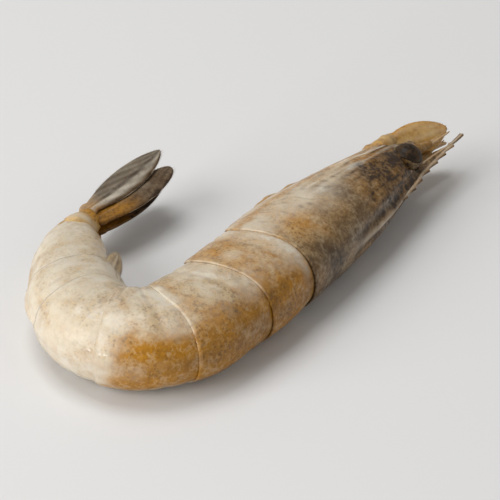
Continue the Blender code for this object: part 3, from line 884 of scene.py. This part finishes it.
def antenna_bases(side, tag):
    """The flat antennal scale, the stout base joints beside it and the small feelers above."""
    root = place(0.5, -2.7, side * 1.7)
    forward = Vector((1, -0.34, 0))
    across = Vector((0, 0.72, side * 0.70))

    def shade(t, v, rib):
        ochre = 0.25 * bump(t, 0.5, 0.4) + 0.40 * abs(v)
        return mark(0.0, ochre, 0.25 * rib + 0.18 * smooth((t - 0.7) / 0.3), 0.20 * smooth((0.25 - t) / 0.2))

    leaf("antennal_scale_" + tag, root, forward, across, SCALE_SIZE, SCALE_SKIN, shade, belly_at=0.52,
         ribs=(0.86, 0.1), fringe=0.5, bow=-side * 0.4, hair=0.04)
    joints = [place(2.5, -2.6, side * 2.0), place(-0.6, -2.9, side * 2.2), place(-2.9, -3.1, side * 2.2),
              place(-5.5, -3.2, side * 2.1)]
    limb("antenna_base_" + tag, joints, (2.0, 1.9, 1.6, 1.0), SCALE_SKIN, 18,
         lambda t, near: mark(0.0, 0.30, 0.12, 0.14 * bump(near, 0, 0.5)), swell=0.02)
    stem = [place(1, 0.8, side * 1.2), place(-2.4, 1.1, side * 1.35), place(-5.6, 1.7, side * 1.3),
            place(-8.5, 2.4, side * 1.1)]
    limb("feeler_stem_" + tag, stem, (1.3, 1.2, 0.95, 0.7), LIMB_SKIN, 14,
         lambda t, near: mark(0.3, 0.6, 0.0, 0.75 - 0.5 * t))
    for name, spread in (("lower", -0.5), ("upper", 0.6)):
        tip = [place(-7.5, 2.2 + spread * 0.5, side * 1.1),
               place(-10.5, 2.5 + spread * 0.8, side * (1.1 + spread * 0.4)),
               place(-13.5, 2.7 + spread, side * (1.1 + spread * 0.6))]
        limb("feeler_%s_%s" % (name, tag), tip, (0.36, 0.28, 0.12), LIMB_SKIN, 8, swell=0.0)


def claw(name, tip, lead):
    """Two slim fingers at the end of a leg."""
    side = lead.cross(Vector((0, 1, 0.3))).normalized()
    for finger, spread in (("a", 0.16), ("b", -0.16)):
        middle = tip + lead * (CLAW_LENGTH * 0.5) + side * (spread * CLAW_LENGTH)
        end = tip + lead * CLAW_LENGTH + side * (spread * 0.3 * CLAW_LENGTH)
        limb(name + "_" + finger, [tip, middle, end], (0.34, 0.26, 0.08), LIMB_SKIN, 8, swell=0.0)


def walking_legs(side, tag, draw):
    """Five legs folded forward along the belly's edge, the first three with claws."""
    def leg_tint(t, near):
        ochre = 0.30 * bump(near, 0.9, 0.6) + 0.20
        return mark(0.05, ochre, 0.15 * bump(near, 0, 0.5) + 0.20, 0.12 * bump(near, 0.7, 0.3))

    for number in range(5):
        hip = FIRST_HIP + LEG_PITCH * number
        knee = hip - THIGH_LENGTH + draw.uniform(-0.8, 0.8)
        w = side * (1.0 + 0.42 * number + draw.uniform(-0.2, 0.2))
        out = 0.1 + 0.10 * number + draw.uniform(-0.15, 0.15)
        path = [place(hip + 0.5, belly(hip) + 4.0, side * 1.6), place(hip - 1.5, belly(hip) + 1.8, w * 0.95),
                place(hip - 5.5, belly(hip - 5) + 0.3, w * 1.05), place(knee, belly(knee) - out, w * 1.05),
                place(knee - 4, belly(knee - 4) - 0.8 * out, w * 0.85),
                place(knee - SHIN_LENGTH, belly(knee - SHIN_LENGTH) + 0.8, w * 0.5)]
        thick = 0.66 + 0.03 * number
        radii = (1.0, thick * 1.05, thick, thick * 0.9, 0.52, 0.26)
        name = "leg_%d_%s" % (number + 1, tag)
        limb(name, path, radii, LIMB_SKIN, marks=leg_tint, swell=0.06)
        if number < CLAWED_LEGS:
            claw(name + "_finger", path[-1], (path[-1] - path[-2]).normalized())


def mouth_limb(side, tag):
    """The last mouth limb, in front of the legs, with bristles along its lower edge."""
    path = [place(6, belly(6) + 2.5, side * 1.8), place(1, belly(1) + 0.8, side * 2.0),
            place(-6, belly(0) + 1.6, side * 1.5), place(-10, belly(0) + 2.6, side * 1.2)]
    limb("mouth_limb_" + tag, path, (1.3, 1.2, 0.9, 0.4), LIMB_SKIN)
    roots = []
    bristles, bend = 70, 0.625
    for i in range(bristles):
        t = i / (bristles - 1)
        p = path[1].lerp(path[2], t / bend) if t < bend else path[2].lerp(path[3], (t - bend) / (1 - bend))
        down = Vector((0.5, 0.8 + 0.2 * math.sin(i * 7), side * 0.25 * math.sin(i * 3))).normalized()
        roots.append((p, down * (1.9 - 0.5 * t)))
    hairs("mouth_bristles_" + tag, roots, LIMB_SKIN, 0.06)


def swimming_legs(side, tag, draw):
    """A pair of flat blades on a stem under each of the first five tail segments, folded back."""
    def shade(t, v, rib):
        ochre = 0.75 * bump(v, 0.0, 0.4) * (1 - t) + 0.3 * smooth(abs(v) / 0.9)
        return mark(0.15 + 0.2 * t, ochre, 0.20 + 0.3 * rib, 0.25 * bump(abs(v), 0.35, 0.15))

    def stem_tint(t, near):
        return mark(0.1, 0.25 + 0.5 * bump(near, 0, 0.7), 0.2, 0.2 * bump(near, 0, 0.4))

    for number, (degrees, length) in enumerate(PADDLES):
        s = EDGES[number] + 0.4 * SEGMENT_LENGTHS[number]
        _, tail, back = frame_at(s)
        lean = math.radians(degrees + draw.uniform(-4, 4))
        down = tail * math.cos(lean) - back * math.sin(lean)
        root = place(s, belly(s) + BELLY_GROOVE + 1.4, side * 2.6)
        stem_end = root + down * 3.6 - back * 0.8
        name = "swimming_leg_%d_%s" % (number + 1, tag)
        stem = [root, root.lerp(stem_end, 0.55), stem_end]
        limb(name, stem, (1.5, 1.4, 1.05), UNDER_SKIN, 14, stem_tint, swell=0.16)
        edge = back.lerp(Vector((0, 0, side)), 0.45)
        leaf(name + "_outer", stem_end - down, down, edge, (length, 3.4, 0.6), UNDER_SKIN, shade,
             belly_at=0.45, ribs=(0.0,), fringe=1.1, fine=2)
        inner = (down - UP * side * 0.22 + back * 0.10).normalized()
        inner_root = stem_end - down * 0.8 - UP * side * 0.6
        leaf(name + "_inner", inner_root, inner, edge, (length * 0.75, 2.4, 0.5), UNDER_SKIN, shade,
             belly_at=0.45, ribs=(0.0,), fringe=0.9, fine=2)


def telson():
    """The pointed middle of the tail fan, with a trough along its back."""
    _, tail, back = frame_at(BODY_END + 5)
    root = place(BODY_END - 2.5, 2.4, 0.5)
    rows = []
    steps, sides = 48, 28
    for i in range(steps + 1):
        t = i / steps
        half = 3.0 * (1 - t) ** 0.75 + 0.12
        high = (2.35 - 1.95 * t) * (0.5 + 0.5 * smooth(t / 0.14))
        row = []
        for j in range(sides):
            a = 2 * math.pi * j / sides
            y = math.sin(a)
            trough = 0.55 * bump(y, 0, 0.28) * smooth((math.cos(a) - 0.2) / 0.3) * smooth(t / 0.15) * (1 - t)
            p = root + tail * (t * (TELSON_LENGTH + 1.5)) + UP * (half * y)
            p = p + back * (high * math.cos(a) - trough)
            p = p + back * (0.08 * rough(p, 2.0))
            pale = 0.35 * (1 - t) * bump(abs(y), 0.55, 0.3)
            row.append((p, mark(0.65 * smooth(t / 0.8), 0.25, pale, 0.25 * smooth((t - 0.4) / 0.5))))
        rows.append(row)
    build("telson", rows, SCALE_SKIN, ends=(root - tail, root + tail * (TELSON_LENGTH + 2.5)))


def outer_blade_tint(t, v, rib):
    """The upper blades of the fan: dark, with a pale ridge, a dark seam, fine veins and an ochre base."""
    veins = 0.5 + 0.5 * math.sin(34 * (0.35 * v - t))
    base = smooth((0.30 - t) / 0.22)
    ridge = bump(v, 0.52, 0.20) * (0.45 + 0.55 * smooth((0.75 - t) / 0.5))
    below = smooth((v - 0.72) / 0.16)
    seam = bump(v, 0.14, 0.12) * (1 - base)
    pale = 0.75 * ridge + 0.12 * veins * (1 - base) + 0.30 * base
    dark = 0.55 * seam + 0.60 * below * (1 - base) + 0.18 * (1 - veins) * (1 - base)
    return mark(0.0, 0.75 * base + 0.30 * below, pale, dark)


def inner_blade_tint(t, v, rib):
    """The lower blades of the fan: golden from the base to the middle, then dark with fine veins."""
    veins = 0.5 + 0.5 * math.sin(30 * (0.4 * v + t))
    gold = smooth((0.62 - t) / 0.35)
    pale = 0.10 * rib + 0.10 * smooth((t - 0.8) / 0.15)
    dark = (0.30 + 0.35 * (1 - gold)) * (1.15 - 0.3 * veins) + 0.35 * smooth((v - 0.7) / 0.2)
    return mark(0.0, 0.85 * gold + 0.20, pale, dark)


def fan_stem_tint(t, near):
    """The fan's base joints: ochre, with a pale band and a dark end."""
    return mark(0.0, 0.25, 0.50 * bump(t, 0.60, 0.16), 0.12 * smooth((t - 0.85) / 0.15))


# Each side blade's name, tints and where its ribs run, from -1 to 1 across it
BLADE_LOOKS = (("outer", outer_blade_tint, (0.45, 0.05)), ("inner", inner_blade_tint, (0.0,)))


def side_blades(side, tag):
    """The base joint and the two blades on one side of the tail fan, folded shut."""
    _, tail, back = frame_at(BODY_END + 5)
    stem = [place(BODY_END - 4, -0.6, side * 1.0), place(BODY_END + 0.6, -0.6, side * 1.2),
            place(BODY_END + FAN_STEM_REACH + 1, -0.8, side * 1.4)]
    limb("fan_stem_" + tag, stem, (3.0, 3.0, 2.2), SCALE_SKIN, 28, fan_stem_tint, swell=0.05)
    for (form, tint, ribs), blade in zip(BLADE_LOOKS, FAN_BLADES[side]):
        length, width, roundness, d, w, roll, rise, splay = blade
        turn = math.radians(roll)
        across = UP * math.cos(turn) - back * math.sin(turn)
        along = tail + UP * rise - back * splay
        leaf("fan_blade_%s_%s" % (form, tag), place(BODY_END + FAN_STEM_REACH, d, w), along, across,
             (length, width, 1.0), BLADE_SKIN, tint, belly_at=0.56, ribs=ribs, fringe=0.8, bow=0.5, fine=2,
             broad_base=0.65, roundness=roundness, hair=0.05)


def animal():
    """Every piece of the prawn, with the same random draws as its solid."""
    draw = random.Random(DRAW_SEED)
    inner_body()
    carapace()
    for number in range(LAST_PLATE + 1):
        tail_plate(number)
    rostrum()
    for side, tag in SIDES:
        eye(side, tag)
        antenna_bases(side, tag)
        walking_legs(side, tag, draw)
        mouth_limb(side, tag)
        swimming_legs(side, tag, draw)
    telson()
    for side, tag in SIDES:
        side_blades(side, tag)


def look_from(azimuth, elevation):
    """The direction from the object to a camera or lamp there."""
    a, e = math.radians(azimuth), math.radians(elevation)
    return Vector((math.sin(a) * math.cos(e), -math.cos(a) * math.cos(e), math.sin(e)))


def studio():
    """The pale floor, the even light of the sky and the lamps, which face the origin."""
    bpy.ops.mesh.primitive_plane_add(size=FLOOR_SIZE, location=(0, 0, FLOOR_HEIGHT))
    floor = bpy.context.object
    floor.name = "floor"
    paint = bpy.data.materials.new("floor_white")
    paint.use_nodes = True
    surface = paint.node_tree.nodes["Principled BSDF"]
    surface.inputs["Base Color"].default_value = FLOOR_PAINT
    surface.inputs["Roughness"].default_value = 0.7
    floor.data.materials.append(paint)

    world = bpy.data.worlds.new("studio")
    world.use_nodes = True
    sky = world.node_tree.nodes["Background"]
    sky.inputs["Color"].default_value = SKY
    sky.inputs["Strength"].default_value = SKY_STRENGTH
    bpy.context.scene.world = world
    bpy.context.scene.view_settings.view_transform = "Standard"

    for name, (azimuth, elevation, distance, size, watts) in LAMPS.items():
        lamp = bpy.data.lights.new(name, "AREA")
        lamp.size = size
        lamp.energy = watts
        holder = bpy.data.objects.new(name, lamp)
        bpy.context.scene.collection.objects.link(holder)
        toward = look_from(azimuth, elevation)
        holder.location = toward * distance
        holder.rotation_euler = toward.to_track_quat("Z", "Y").to_euler()


def camera():
    """A camera aimed at the middle of what it sees of the solid, which fills its frame."""
    toward = look_from(VIEW_AZIMUTH, VIEW_ELEVATION)
    right = UP.cross(toward).normalized()
    above = toward.cross(right)
    places = [v.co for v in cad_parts["prawn"].data.vertices]
    across = [p.dot(right) for p in places]
    up = [p.dot(above) for p in places]
    aim = right * ((min(across) + max(across)) / 2) + above * ((min(up) + max(up)) / 2)
    span = max(max(across) - min(across), max(up) - min(up)) * VIEW_MARGIN
    lens = bpy.data.cameras.new("view")
    lens.sensor_width = SENSOR_WIDTH
    lens.lens = SENSOR_WIDTH * VIEW_DISTANCE / span
    lens.clip_start = 0.01
    holder = bpy.data.objects.new("view", lens)
    bpy.context.scene.collection.objects.link(holder)
    holder.location = aim + toward * VIEW_DISTANCE
    holder.rotation_euler = toward.to_track_quat("Z", "Y").to_euler()
    bpy.context.scene.camera = holder


animal()
studio()
camera()
